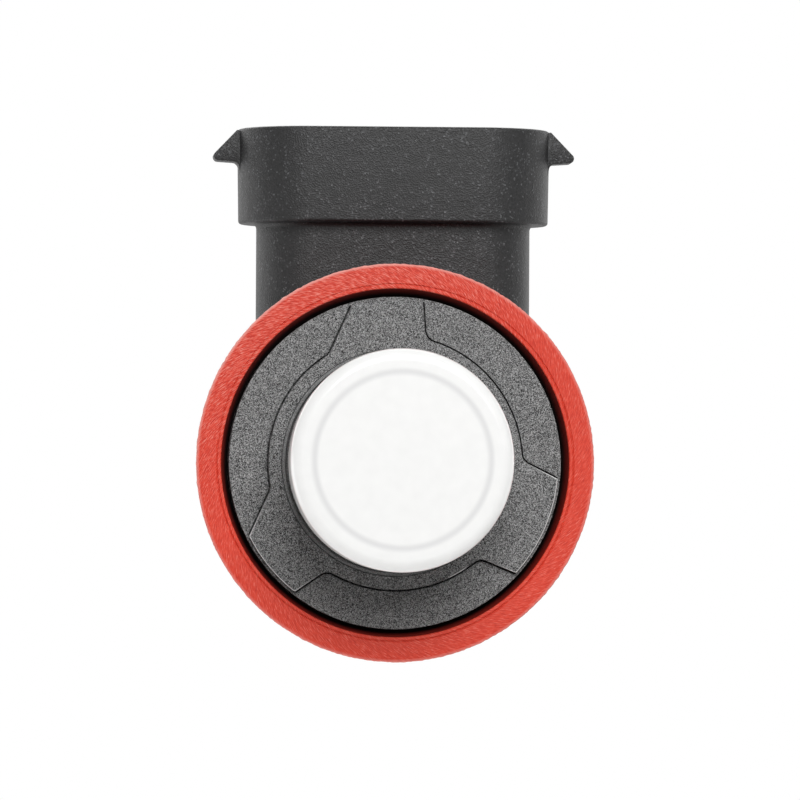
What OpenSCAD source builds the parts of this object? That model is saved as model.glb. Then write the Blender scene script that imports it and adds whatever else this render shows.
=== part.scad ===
// Ultrasonic parking sensor with a keyed face and an upright connector
// The sensor looks along -Y, the connector points up along +Z, sizes are in millimetres
// The origin is on the sensor's axis, on the flange face that the bumper bracket lies against

/* [Transducer cup] */
// Diameter of the white head
head_d = 14.5; // [12:0.1:16]
// How far the head's front lies in front of the flange
head_front = 8.9; // [7.5:0.1:11]
// Length of the whole cup
cup_len = 10; // [9:0.1:11]
// Radius of the head's front edge
head_edge_r = 0.8; // [0.6:0.1:1.4]
// Depth of the undercut behind the head
undercut = 0.9; // [0.5:0.05:1.2]
// Gap between the head's lower rim and the keyed face
rim_gap = 2.6; // [2:0.1:3]
// Thickness of the vibrating front wall
membrane_t = 0.8; // [0.5:0.05:1.2]
// Thickness of the cup's side wall at the shank
cup_wall = 1.05; // [0.8:0.05:1.4]
// Distance between the two flats of the cup's inside
cavity_flats = 7.8; // [7.2:0.1:9]
// Radius of the shallow ring on the front
ring_r = 5.7; // [4.6:0.1:5.7]
// Depth of the shallow ring on the front
ring_depth = 0.03; // [0.02:0.01:0.1]
// Radius of the shallow ring's hollow in cross-section
ring_hollow_r = 0.6; // [0.3:0.05:0.8]

/* [Piezo element] */
// Diameter of the piezo disc
piezo_d = 6.8; // [5:0.1:7]
// Thickness of the piezo disc
piezo_t = 0.4; // [0.2:0.05:0.6]
// Thickness of the damping pad behind the piezo disc
pad_t = 2; // [1:0.1:2.6]
// Gap between soft fillings and the cup's wall
filling_gap = 0.05; // [0.02:0.01:0.1]
// Diameter of a transducer pin
pin_d = 0.6; // [0.4:0.05:0.8]
// Distance of each transducer pin from the axis
pin_offset = 1.9; // [1.4:0.1:2.4]
// Play of pins and terminals in their holes
pin_play = 0.03; // [0.02:0.01:0.06]
// Length of pin that stands out behind the circuit board
pin_tail = 0.6; // [0.4:0.1:1]

/* [Decoupling sleeve] */
// Wall of the soft sleeve round the shank
sleeve_wall = 1.1; // [0.8:0.05:1.4]
// Play between the sleeve, the cup and the housing
sleeve_fit = 0.03; // [0.02:0.01:0.06]
// How far the sleeve's full wall ends behind the keyed face
sleeve_recess = 0.9; // [0.6:0.05:1.2]
// How far the sleeve's lip beside the hub lies behind the keyed face
lip_drop = 0.1; // [0.05:0.01:0.3]
// Width of that lip at its top
lip_w = 0.22; // [0.1:0.01:0.3]
// Width of that lip at its foot
lip_foot_w = 0.5; // [0.35:0.05:0.6]
// Thickness of the sleeve's rear collar
collar_t = 1; // [0.6:0.1:1.4]
// Width of the collar outside the sleeve's tube
collar_w = 1.9; // [1.4:0.1:2.2]
// Width of the ledge that the cup stands on
ledge_w = 1.35; // [1.1:0.05:1.6]

/* [Keyed face] */
// Wall of the hub round the sleeve
hub_wall = 0.85; // [0.6:0.05:1.2]
// How far the hub and its lugs stand out from the flange
face_h = 0.4; // [0.3:0.05:1]
// How far a lug stands out from the hub
lug_reach = 2.4; // [2:0.05:2.9]
// Chamfer on the lugs' outer edge
lug_chamfer = 0.12; // [0.08:0.02:0.2]
// Radius that blends a lug into the hub
root_fillet = 0.85; // [0.5:0.05:1]
// Angles of the top lug: root start, tip start, tip end, root end
lug_top = [76.5, 80.5, 105.8, 121.8]; // [0:0.1:360]
// Angles of the lower left lug, in the same order
lug_left = [192, 207, 232.3, 237.7]; // [0:0.1:360]
// Angles of the lower right lug, the wide one that keys the sensor
lug_key = [311.9, 318, 354.7, 361.4]; // [0:0.1:380]

/* [Flange and seal] */
// How far the flange reaches outside the lugs
flange_margin = 0.18; // [0.1:0.02:0.5]
// Thickness of the flange
flange_t = 2; // [1.4:0.1:2.6]
// Step from the flange up to the seal's seat
seat_step = 0.37; // [0.2:0.05:0.6]
// Play between the seal and its seat
seal_fit = 0.05; // [0.02:0.01:0.1]
// Radial wall of the seal ring
seal_wall = 1.8; // [1.3:0.05:2.4]
// Length of the seal ring
seal_len = 5; // [4:0.1:6]
// How far the seal stands in front of the flange
seal_proud = 0.4; // [0.2:0.1:0.8]
// Width of the bead at the seal's inner front edge
bead_w = 0.34; // [0.2:0.02:0.5]
// Radius of the groove beside the bead
bead_groove_r = 0.1; // [0.05:0.01:0.15]
// Edge radius of the seal's outer corners
seal_edge_r = 0.25; // [0.1:0.05:0.5]
// How much smaller the seal's outer radius is at its back
seal_draft = 0.25; // [0.1:0.05:0.3]

/* [Rear body] */
// How far the shoulder behind the seal lies inside the seal's outer edge
shoulder_inset = 0.42; // [0.2:0.05:0.8]
// Thickness of the shoulder
shoulder_t = 1.2; // [0.8:0.1:2]
// Step from the shoulder down to the round body
body_step = 0.6; // [0.3:0.1:1]
// Wall of the housing at the seal's seat
seat_wall = 1.25; // [1:0.05:1.6]
// Thickness of the housing's front wall
front_wall = 3.2; // [2.6:0.1:3.6]
// How far the body reaches behind the flange face
body_len = 16.1; // [15.7:0.1:18.5]
// Edge radius of the body's rear corner
body_edge_r = 0.6; // [0.3:0.1:0.8]

/* [Rear cover] */
// Thickness of the cover
cover_t = 1.4; // [1:0.1:2]
// Width of the ledge that the cover sits on
cover_ledge = 1.1; // [0.8:0.1:1.3]
// Play round the cover
cover_fit = 0.05; // [0.02:0.01:0.1]
// Length of the cover's locating ring
spigot_len = 1.2; // [0.8:0.1:2]
// Wall of the cover's locating ring
spigot_wall = 0.9; // [0.6:0.1:1.2]
// Depth of the shallow dish in the cover's back
dish_depth = 0.3; // [0.1:0.05:0.5]
// Width of the plain rim round that dish
dish_rim = 2.2; // [1.5:0.1:4]

/* [Connector] */
// Width of the neck
neck_w = 18.2; // [17:0.1:20]
// Depth of the neck from front to back
neck_depth = 7; // [6.6:0.1:8]
// Gap between the back of the seal and the neck
neck_gap = 0.8; // [0.3:0.1:1.5]
// Height of neck that shows above the seal
neck_show = 2.9; // [2:0.1:5]
// How far the connector lies to the right of the sensor's axis
neck_shift = 0.3; // [-1:0.1:1]
// Blend under the shroud
step_blend = 0.35; // [0.2:0.05:0.5]
// Step from the neck out to the shroud
shroud_step = 1.2; // [0.9:0.05:1.8]
// Height of the shroud
shroud_h = 6.3; // [5.8:0.1:9]
// How much each side of the shroud opens towards its mouth
shroud_draft = 0.1; // [0.05:0.05:0.3]
// Wall of the shroud at its foot
shroud_wall = 1.3; // [1:0.05:1.6]
// Rounding of the shroud's mouth and foot, as a small bevel
shroud_bevel = 0.22; // [0.1:0.02:0.4]
// Height of the socket's floor above the shroud's foot
floor_rise = 0.4; // [0.2:0.1:1]
// Wall of the neck round the terminal carrier
neck_wall = 1.2; // [1:0.05:1.4]

/* [Latch ramps] */
// How far a ramp stands out from the shroud
ramp_out = 1.5; // [1:0.05:2]
// Height of a ramp from the mouth down to its hook
ramp_h = 2.1; // [1.5:0.05:2.5]
// Width of a ramp from front to back
ramp_w = 2.2; // [1.5:0.1:3]
// Rounding of a ramp's tip
ramp_tip_r = 0.25; // [0.1:0.05:0.4]
// Rounding under a ramp, against the shroud
ramp_root_r = 0.4; // [0.2:0.05:0.6]

/* [Terminals] */
// Side of a square terminal
terminal_w = 0.64; // [0.5:0.02:0.8]
// Distance between neighbouring terminals
terminal_pitch = 3.5; // [2.8:0.1:3.8]
// Length of terminal that stands up in the socket
terminal_stand = 4.6; // [3.5:0.1:5]
// Length of a terminal's tapered tip
terminal_taper = 0.7; // [0.4:0.1:1]
// Height of the terminals' solder holes above the sensor's axis
terminal_foot_z = 6.4; // [6:0.1:7]
// Length of terminal that stands out in front of the circuit board
terminal_tail = 0.6; // [0.4:0.1:0.8]
// Plastic round the outer terminals in their carrier
carrier_margin = 1.2; // [0.9:0.1:1.6]
// Length of the terminal carrier
carrier_len = 5.2; // [4:0.1:6]
// Play round the terminal carrier
carrier_fit = 0.05; // [0.02:0.01:0.1]

/* [Circuit board] */
// Thickness of the circuit board
board_t = 1; // [0.8:0.1:1.6]
// Gap between the circuit board and the housing's wall
board_gap = 0.3; // [0.2:0.05:0.6]
// Gap between the circuit board and the terminals behind it
board_clear = 0.48; // [0.3:0.02:0.8]
// Thickness of the clamp ring that holds the sleeve
clamp_t = 1; // [0.8:0.1:1.2]
// Wall of the clamp ring's rim that carries the circuit board
clamp_rim = 1; // [0.8:0.1:1.4]

/* [Board parts] */
// Middle of the transformer, across and up from the axis in shares of the board's radius
transformer_at = [-0.33, -0.37]; // [-0.4:0.01:0.4]
// Width and height of the transformer's base
transformer_w = 6; // [5:0.1:6.2]
// Thickness of the transformer's base
transformer_base_t = 0.8; // [0.5:0.1:1.2]
// Diameter of the transformer's winding
winding_d = 5.2; // [4.4:0.1:5.6]
// Height of the transformer's winding
winding_h = 3; // [2:0.1:3.4]
// Diameter of the transformer core's middle post
core_post_d = 2.4; // [2:0.1:3]
// Thickness of the transformer core's end plate
core_plate_t = 0.9; // [0.6:0.1:1.2]
// Middle of the driver chip, in the same shares
chip_at = [0.5, -0.31]; // [-0.5:0.01:0.5]
// Width of the driver chip's body
chip_w = 4; // [3:0.1:5]
// Height of the driver chip's body
chip_h = 5; // [4:0.1:6]
// Thickness of the driver chip's body
chip_t = 1.4; // [1:0.1:1.8]
// Gap between the chip's body and the circuit board
chip_lift = 0.15; // [0.1:0.05:0.3]
// Distance between neighbouring legs of the chip
leg_pitch = 1.27; // [1:0.01:1.27]
// Number of legs on each side of the chip
legs_per_side = 4; // [2:1:4]
// Width of a chip's leg
leg_w = 0.42; // [0.3:0.02:0.5]
// Thickness of a chip's leg
leg_t = 0.2; // [0.15:0.01:0.25]
// Reach of a chip's leg beyond the body
leg_reach = 0.9; // [0.6:0.1:1]
// First capacitor of the upper row, in the same shares
capacitor_upper_at = [-0.58, 0.17]; // [-0.6:0.01:0.3]
// First capacitor of the lower row, in the same shares
capacitor_lower_at = [0.17, -0.72]; // [-0.75:0.01:0.3]
// Number of capacitors in a row
capacitors_per_row = 2; // [1:1:2]
// Width, height and thickness of a capacitor
capacitor_size = [1.3, 2, 1.2]; // [0.5:0.1:2]
// Distance between neighbouring capacitors
capacitor_pitch = 2.2; // [2:0.1:2.6]
// First resistor of the left row, in the same shares
resistor_left_at = [-0.56, 0.43]; // [-0.6:0.01:0.5]
// First resistor of the right row, in the same shares
resistor_right_at = [0.43, 0.37]; // [-0.6:0.01:0.5]
// Number of resistors in a row
resistors_per_row = 2; // [1:1:2]
// Width, height and thickness of a resistor
resistor_size = [0.9, 1.6, 0.5]; // [0.3:0.1:1.8]
// Distance between neighbouring resistors
resistor_pitch = 1.7; // [1.5:0.1:1.9]
// Middle of the diode, in the same shares
diode_at = [0.71, 0.09]; // [-0.72:0.01:0.72]
// Diameter of the glass diode
diode_d = 1.4; // [1:0.1:1.6]
// Length of the glass diode
diode_len = 3.4; // [2.5:0.1:3.6]

/* [Hidden] */
$fn = 128;

// Radii, worked out from the axis outwards
head_r = head_d / 2;
shank_r = head_r - undercut;
hub_bore_r = shank_r + sleeve_wall;
hub_r = hub_bore_r + hub_wall;
lug_r = hub_r + lug_reach;
flange_r = lug_r + flange_margin;
seat_r = flange_r + seat_step;
seal_bore_r = seat_r + seal_fit;
seal_r = seal_bore_r + seal_wall;
shoulder_r = seal_r - shoulder_inset;
body_r = shoulder_r - body_step;
cavity_r = seat_r - seat_wall;
cover_seat_r = cavity_r + cover_ledge;
cup_cavity_r = shank_r - cup_wall;

// Heights along the axis, counted forwards from the flange face
rim_h = face_h + rim_gap;
cup_rear = head_front - cup_len;
membrane_h = head_front - membrane_t;
pad_front = membrane_h - piezo_t;
plug_front = pad_front - pad_t;
collar_rear = -front_wall - collar_t;
clamp_rear = collar_rear - clamp_t;
seal_rear = seal_proud - seal_len;
shoulder_rear = seal_rear - shoulder_t;

// Connector, with its own middle plane behind the seal
neck_r = neck_depth / 2;
racetrack_span = neck_w - neck_depth;
connector_y = neck_gap + neck_r - seal_rear;
shroud_r = neck_r + shroud_step;
mouth_r = shroud_r + shroud_draft;
socket_r = shroud_r - shroud_wall;
shroud_z = seal_r + neck_show;
mouth_z = shroud_z + shroud_h;
floor_z = shroud_z + floor_rise;
passage_r = neck_r - neck_wall;
passage_span = 2 * (terminal_pitch + carrier_margin - passage_r);
shroud_side = racetrack_span / 2 + mouth_r;

// Circuit board and what lies behind it
board_rear = -connector_y + terminal_w / 2 + board_clear;
board_front = board_rear + board_t;
board_r = cavity_r - board_gap;
body_rear = -body_len;
cover_inner = body_rear + cover_t;
pin_rear = board_rear - pin_tail;
terminal_x = [-terminal_pitch, 0, terminal_pitch];

// A margin by which a cut runs past the face it opens
past = 0.5;
// How far a lug's sides are drawn past its tip before the tip is cut round, as a share
lug_overshoot = 1.6;
// Number of steps in a small arc
arc_steps = 8;
// Degrees in a full turn
full_turn = 360;

function polar(r, a) = [r * cos(a), r * sin(a)];
function unit(v) = v / norm(v);

// Stands a piece that was drawn along +Z on the sensor's axis, facing forwards
module facing() {
    rotate([90, 0, 0]) children();
}

// Stands a piece that was drawn along +Z in the middle of the connector
module in_connector(z) {
    translate([neck_shift, connector_y, z]) children();
}

// Flat outline with two straight sides and two round ends
module racetrack(span, r) {
    square([span, 2 * r], center = true);
    for (side = [-1, 1])
        translate([side * span / 2, 0]) circle(r);
}

// Upright solid of that outline, whose radius runs from r1 to r2
module racetrack_cone(span, r1, r2, h) {
    for (side = [-1, 1])
        translate([side * span / 2, 0, 0]) cylinder(r1 = r1, r2 = r2, h = h);
    rotate([90, 0, 90])
        linear_extrude(span, center = true)
            polygon([[-r1, 0], [r1, 0], [r2, h], [-r2, h]]);
}

// Round tube along the axis between two heights
module tube(r_in, r_out, from, to) {
    translate([0, 0, from]) difference() {
        cylinder(r = r_out, h = to - from);
        translate([0, 0, -past]) cylinder(r = r_in, h = to - from + 2 * past);
    }
}

// Points along an arc round a centre, between two angles
function arc(centre, r, from, to) =
    [for (i = [0 : arc_steps]) centre + polar(r, from + (to - from) * i / arc_steps)];

// Smallest turn that leads from one angle to another
function turn(from, to) = (to - from + 1.5 * full_turn) % full_turn - full_turn / 2;

// Arc that blends one side of a lug into the hub, from inside the hub out to the side
// Its first step would hug the hub's edge, so the outline crosses that edge at the second
function lug_blend(root, tip, side) =
    let (
        along = unit(tip - root),
        away = side * [-along[1], along[0]],
        start = root + root_fillet * away,
        lead = start * along,
        reach = hub_r + root_fillet,
        centre = start + (sqrt(lead * lead - start * start + reach * reach) - lead) * along,
        at_hub = atan2(-centre[1], -centre[0]),
        at_side = atan2(-away[1], -away[0]),
        points = arc(centre, root_fillet, at_hub, at_hub + turn(at_hub, at_side))
    )
    concat([points[0] * hub_bore_r / hub_r], [for (i = [2 : arc_steps]) points[i]]);

function reversed(list) = [for (i = [len(list) - 1 : -1 : 0]) list[i]];

// Outline of one lug, with straight slanting sides and blended roots
module lug_outline(angles) {
    root_a = polar(hub_r, angles[0]);
    root_b = polar(hub_r, angles[3]);
    tip_a = polar(lug_r, angles[1]);
    tip_b = polar(lug_r, angles[2]);
    intersection() {
        circle(lug_r);
        polygon(concat(
            lug_blend(root_a, tip_a, -1),
            [root_a + lug_overshoot * (tip_a - root_a), root_b + lug_overshoot * (tip_b - root_b)],
            reversed(lug_blend(root_b, tip_b, 1))
        ));
    }
}

// The three lugs, with a chamfered outer edge
module lugs() {
    intersection() {
        translate([0, 0, -past])
            linear_extrude(past + face_h)
                for (angles = [lug_top, lug_left, lug_key])
                    lug_outline(angles);
        union() {
            translate([0, 0, -past])
                cylinder(r = lug_r, h = past + face_h - lug_chamfer);
            translate([0, 0, face_h - lug_chamfer])
                cylinder(r1 = lug_r, r2 = lug_r - lug_chamfer, h = lug_chamfer);
        }
    }
}

// Solid of revolution of the housing, from the hub back to the rear edge
module turned_body() {
    rotate_extrude() {
        square([hub_r, face_h]);
        translate([0, -flange_t]) square([flange_r, flange_t]);
        translate([0, seal_rear]) square([seat_r, -flange_t - seal_rear]);
        translate([0, shoulder_rear]) square([shoulder_r, shoulder_t]);
        translate([0, body_rear + body_edge_r])
            square([body_r, shoulder_rear - body_rear - body_edge_r]);
        translate([0, body_rear]) square([body_r - body_edge_r, body_edge_r]);
        translate([body_r - body_edge_r, body_rear + body_edge_r]) circle(body_edge_r);
    }
}

// Hollow inside of the housing, open at the hub and at the rear
module turned_hollow() {
    translate([0, 0, -front_wall - past])
        cylinder(r = hub_bore_r, h = front_wall + face_h + 2 * past);
    translate([0, 0, cover_inner - past])
        cylinder(r = cavity_r, h = -front_wall - cover_inner + past);
    translate([0, 0, body_rear - past])
        cylinder(r = cover_seat_r, h = cover_t + past);
}

// Latch ramp at one narrow end of the shroud: slopes out from the mouth, with a hook below
module latch_ramp() {
    inside = shroud_side - shroud_wall / 2;
    foot = shroud_side - shroud_draft;
    hook_z = mouth_z - ramp_h;
    start = [shroud_side, mouth_z - shroud_bevel];
    tip = [shroud_side + ramp_out - ramp_tip_r, hook_z + ramp_tip_r];
    fall = tip - start;
    slope_side = atan2(fall[1], fall[0]) + asin(ramp_tip_r / norm(fall)) + 90;
    rotate([90, 0, 0]) linear_extrude(ramp_w, center = true)
        polygon(concat(
            [[inside, start[1]], start],
            arc(tip, ramp_tip_r, slope_side, -90),
            arc([foot + ramp_root_r, hook_z - ramp_root_r], ramp_root_r, 90, 180),
            [[inside, hook_z - ramp_root_r]]
        ));
}

// Neck and shroud of the connector, before they are hollowed
module connector_body() {
    in_connector(0) {
        linear_extrude(shroud_z + past) racetrack(racetrack_span, neck_r);
        translate([0, 0, shroud_z - step_blend])
            racetrack_cone(racetrack_span, neck_r, neck_r + step_blend, step_blend);
        translate([0, 0, shroud_z])
            racetrack_cone(racetrack_span, shroud_r - shroud_bevel, shroud_r, shroud_bevel);
        translate([0, 0, shroud_z + shroud_bevel])
            racetrack_cone(racetrack_span, shroud_r, mouth_r, shroud_h - 2 * shroud_bevel);
        translate([0, 0, mouth_z - shroud_bevel])
            racetrack_cone(racetrack_span, mouth_r, mouth_r - shroud_bevel, shroud_bevel);
        latch_ramp();
        mirror([1, 0, 0]) latch_ramp();
    }
}

// Socket for the plug and the passage below it
module connector_hollow() {
    in_connector(floor_z)
        linear_extrude(mouth_z - floor_z + past) racetrack(racetrack_span, socket_r);
    in_connector(mouth_z - shroud_bevel)
        racetrack_cone(racetrack_span, socket_r, socket_r + shroud_bevel + past, shroud_bevel + past);
    in_connector(0)
        linear_extrude(floor_z + past) racetrack(passage_span, passage_r);
}

module housing() {
    color("#3d3e40") difference() {
        union() {
            facing() turned_body();
            facing() lugs();
            connector_body();
        }
        facing() turned_hollow();
        connector_hollow();
    }
}

module rear_cover() {
    color("#333436") facing() difference() {
        union() {
            translate([0, 0, body_rear]) cylinder(r = cover_seat_r - cover_fit, h = cover_t);
            tube(cavity_r - cover_fit - spigot_wall, cavity_r - cover_fit,
                cover_inner, cover_inner + spigot_len);
        }
        translate([0, 0, body_rear - past])
            cylinder(r = cover_seat_r - dish_rim, h = dish_depth + past);
    }
}

module seal_ring() {
    front_edge = [seal_r - seal_edge_r, seal_proud - seal_edge_r];
    rear_edge = [seal_r - seal_draft - seal_edge_r, seal_rear + seal_edge_r];
    color("#d6402f") facing() rotate_extrude() difference() {
        polygon(concat(
            [[seal_bore_r, seal_proud], [seal_bore_r, seal_rear]],
            arc(rear_edge, seal_edge_r, -90, 0),
            arc(front_edge, seal_edge_r, 0, 90)
        ));
        translate([seal_bore_r + bead_w, seal_proud]) circle(bead_groove_r);
    }
}

// Inside outline of the cup: a circle with two flats, shrunk by a gap
module cup_cavity_outline(gap) {
    intersection() {
        circle(cup_cavity_r - gap);
        square([2 * head_d, cavity_flats - 2 * gap], center = true);
    }
}

module transducer_cup() {
    color("#f4f4f2") facing() difference() {
        rotate_extrude() difference() {
            union() {
                translate([0, cup_rear]) square([shank_r, rim_h - cup_rear]);
                translate([0, rim_h]) square([head_r, head_front - head_edge_r - rim_h]);
                translate([0, rim_h]) square([head_r - head_edge_r, head_front - rim_h]);
                translate([head_r - head_edge_r, head_front - head_edge_r]) circle(head_edge_r);
            }
            translate([ring_r, head_front + ring_hollow_r - ring_depth]) circle(ring_hollow_r);
        }
        translate([0, 0, cup_rear - past])
            linear_extrude(membrane_h - cup_rear + past) cup_cavity_outline(0);
    }
}

module decoupling_sleeve() {
    sleeve_r = hub_bore_r - sleeve_fit;
    wall_top = face_h - sleeve_recess;
    lip_top = face_h - lip_drop;
    color("#202124") facing() rotate_extrude() polygon([
        [shank_r + sleeve_fit, cup_rear],
        [shank_r + sleeve_fit, wall_top],
        [sleeve_r - lip_foot_w, wall_top],
        [sleeve_r - lip_w, lip_top],
        [sleeve_r, lip_top],
        [sleeve_r, -front_wall],
        [hub_bore_r + collar_w, -front_wall],
        [hub_bore_r + collar_w, collar_rear],
        [shank_r - ledge_w, collar_rear],
        [shank_r - ledge_w, cup_rear]
    ]);
}

module piezo_disc() {
    color("#c9b458") facing() translate([0, 0, pad_front]) cylinder(d = piezo_d, h = piezo_t);
}

module damping_pad() {
    color("#8c8c86") facing() translate([0, 0, plug_front])
        linear_extrude(pad_t) cup_cavity_outline(filling_gap);
}

module cup_plug() {
    color("#5c5f66") facing() translate([0, 0, cup_rear])
        linear_extrude(plug_front - cup_rear) difference() {
            cup_cavity_outline(filling_gap);
            for (side = [-1, 1])
                translate([side * pin_offset, 0]) circle(d = pin_d + 2 * pin_play);
        }
}

// One straight pin from the damping pad back through the circuit board
module transducer_pin(side) {
    color("#d8d4c4") facing() translate([side * pin_offset, 0, pin_rear])
        cylinder(d = pin_d, h = plug_front - pin_rear);
}

module transducer_pin_live() {
    transducer_pin(-1);
}

module transducer_pin_ground() {
    transducer_pin(1);
}

module clamp_ring() {
    color("#b9b29c") facing() {
        tube(shank_r - ledge_w, board_r, clamp_rear, collar_rear);
        tube(board_r - clamp_rim, board_r, board_front, collar_rear);
    }
}

module circuit_board() {
    hole_w = terminal_w + 2 * pin_play;
    color("#1f6b3c") facing() translate([0, 0, board_rear]) linear_extrude(board_t) difference() {
        circle(board_r);
        for (side = [-1, 1])
            translate([side * pin_offset, 0]) circle(d = pin_d + 2 * pin_play);
        for (x = terminal_x)
            translate([neck_shift + x, terminal_foot_z]) square(hole_w, center = true);
    }
}

// Places a piece on the board's rear face, drawn from the board backwards
module on_board(at) {
    translate([at[0] * board_r, -board_rear, at[1] * board_r]) rotate([-90, 0, 0]) children();
}

module transformer_base() {
    color("#2b2b2b") on_board(transformer_at)
        linear_extrude(transformer_base_t) square(transformer_w, center = true);
}

module transformer_core() {
    color("#4a4744") on_board(transformer_at)
        translate([0, 0, transformer_base_t]) {
            cylinder(d = core_post_d, h = winding_h);
            translate([0, 0, winding_h])
                linear_extrude(core_plate_t) square(transformer_w, center = true);
        }
}

module transformer_winding() {
    color("#b4642d") on_board(transformer_at)
        tube(core_post_d / 2 + pin_play, winding_d / 2,
            transformer_base_t, transformer_base_t + winding_h);
}

// Chip with bent legs along both sides
module driver_chip() {
    color("#26272a") on_board(chip_at) {
        translate([0, 0, chip_lift]) linear_extrude(chip_t) square([chip_w, chip_h], center = true);
        for (side = [-1, 1], i = [0 : legs_per_side - 1])
            translate([side * chip_w / 2, (i - (legs_per_side - 1) / 2) * leg_pitch, 0]) {
                translate([side * leg_reach / 2, 0, 0])
                    linear_extrude(leg_t) square([leg_reach, leg_w], center = true);
                translate([side * leg_t / 2, 0, 0])
                    linear_extrude(chip_t / 2 + chip_lift) square([leg_t, leg_w], center = true);
            }
    }
}

// Small block parts that stand side by side on the board
module block_row(at, count, pitch, size) {
    for (i = [0 : count - 1])
        on_board(at) translate([i * pitch, 0, 0])
            linear_extrude(size[2]) square([size[0], size[1]], center = true);
}

module capacitors() {
    color("#a98c68") {
        for (at = [capacitor_upper_at, capacitor_lower_at])
            block_row(at, capacitors_per_row, capacitor_pitch, capacitor_size);
    }
}

module resistors() {
    color("#2f3033") {
        for (at = [resistor_left_at, resistor_right_at])
            block_row(at, resistors_per_row, resistor_pitch, resistor_size);
    }
}

module diode() {
    color("#a8452f") on_board(diode_at) translate([0, 0, diode_d / 2])
        rotate([90, 0, 0]) cylinder(d = diode_d, h = diode_len, center = true);
}

module terminal_carrier() {
    hole_w = terminal_w + 2 * pin_play;
    color("#4b4c50") in_connector(floor_z - carrier_len)
        linear_extrude(carrier_len) difference() {
            racetrack(passage_span, passage_r - carrier_fit);
            for (x = terminal_x)
                translate([x, 0]) square(hole_w, center = true);
        }
}

// Upright square terminal with a tapered tip, bent forwards through the circuit board
module terminal(x) {
    half = terminal_w / 2;
    point = half / 2;
    top = floor_z + terminal_stand;
    foot = terminal_foot_z - half;
    outline = [
        [-half, foot], [half, foot],
        [half, top - terminal_taper], [point, top],
        [-point, top], [-half, top - terminal_taper]
    ];
    color("#d9d6cf") {
        in_connector(0) translate([x, 0, 0]) intersection() {
            rotate([90, 0, 0]) linear_extrude(terminal_w, center = true) polygon(outline);
            rotate([90, 0, 90]) linear_extrude(terminal_w, center = true) polygon(outline);
        }
        translate([neck_shift + x, 0, terminal_foot_z])
            facing() linear_extrude_between(-connector_y, board_front + terminal_tail)
                square(terminal_w, center = true);
    }
}

// Straight extrusion between two heights along the axis
module linear_extrude_between(from, to) {
    translate([0, 0, from]) linear_extrude(to - from) children();
}

module terminal_supply() {
    terminal(terminal_x[0]);
}

module terminal_signal() {
    terminal(terminal_x[1]);
}

module terminal_ground() {
    terminal(terminal_x[2]);
}

housing();
rear_cover();
seal_ring();
transducer_cup();
decoupling_sleeve();
piezo_disc();
damping_pad();
cup_plug();
transducer_pin_live();
transducer_pin_ground();
clamp_ring();
circuit_board();
transformer_base();
transformer_core();
transformer_winding();
driver_chip();
capacitors();
resistors();
diode();
terminal_carrier();
terminal_supply();
terminal_signal();
terminal_ground();
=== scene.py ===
"""Dressed model of an ultrasonic parking sensor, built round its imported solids.

The sensor looks along -Y and its connector points up along +Z. The classes give sizes in
millimetres, and Blender works in metres.
"""

import logging
import math
from dataclasses import dataclass
from enum import Enum
from typing import Callable, Mapping, Optional, Sequence, Union

import bmesh
import bpy
from bpy.types import Material, NodeSocket, NodeTree, Object
from mathutils import Matrix, Vector, noise


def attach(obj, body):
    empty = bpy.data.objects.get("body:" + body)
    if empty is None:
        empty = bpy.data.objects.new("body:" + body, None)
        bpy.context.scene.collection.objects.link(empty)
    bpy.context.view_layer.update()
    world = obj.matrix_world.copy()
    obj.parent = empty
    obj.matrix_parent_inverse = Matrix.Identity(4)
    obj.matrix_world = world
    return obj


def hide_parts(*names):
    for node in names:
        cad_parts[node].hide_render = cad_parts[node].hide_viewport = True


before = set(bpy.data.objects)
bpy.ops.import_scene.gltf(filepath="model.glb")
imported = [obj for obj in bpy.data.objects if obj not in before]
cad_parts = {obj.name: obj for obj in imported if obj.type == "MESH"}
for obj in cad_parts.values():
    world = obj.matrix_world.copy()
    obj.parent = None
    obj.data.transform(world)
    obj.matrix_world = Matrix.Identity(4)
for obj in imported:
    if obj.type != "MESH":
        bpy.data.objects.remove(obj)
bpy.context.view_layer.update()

LOG = logging.getLogger("parking_sensor")
MM = 0.001
BODY = "root"
# Attribute of a piece's points that says how far they carry a painted highlight
PAINTED_HIGHLIGHT = "edge_highlight"

# Points closer than this, in metres, are one point
MERGE = 1e-6
# Most degrees of turn between two points of an arc
ARC_STEP = 12.0
# Most that an arc's straight steps may fall short of it, in millimetres
ARC_ERROR = 0.001
# Edges that turn by more than this many degrees stay sharp
CREASE = 32.0
# Steps round a turned piece
ROUND_STEPS = 256

Value = Union[float, tuple, NodeSocket]
Flat = tuple[float, float]
Four = tuple[float, float, float, float]


class Side(Enum):
    """The two narrow ends of the connector."""

    LEFT = -1
    RIGHT = 1


class Slot(Enum):
    """Names of the record's material slots."""

    HOUSING = "housing"
    COVER = "rear_cover"
    SEAL = "seal"
    PAINT = "white_paint"
    SOFT = "soft_black"


class Pattern(Enum):
    """Node that draws a plain finish's pattern."""

    NOISE = "TexNoise"
    CELLS = "TexVoronoi"
    BANDS = "TexWave"


# Colour and nodes


def to_linear(code: str) -> Four:
    """Turns an sRGB hex value into linear colour.

    Args:
        code: Colour such as "#d6402f".

    Returns:
        Linear red, green and blue, with an alpha of 1.
    """
    parts = [int(code[i : i + 2], 16) / 255 for i in (1, 3, 5)]
    linear = [p / 12.92 if p <= 0.04045 else ((p + 0.055) / 1.055) ** 2.4 for p in parts]
    return (*linear, 1.0)


def per_mm(size: float) -> float:
    """Gives the pattern scale whose features are this many millimetres wide."""
    return 1 / (size * MM)


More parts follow.
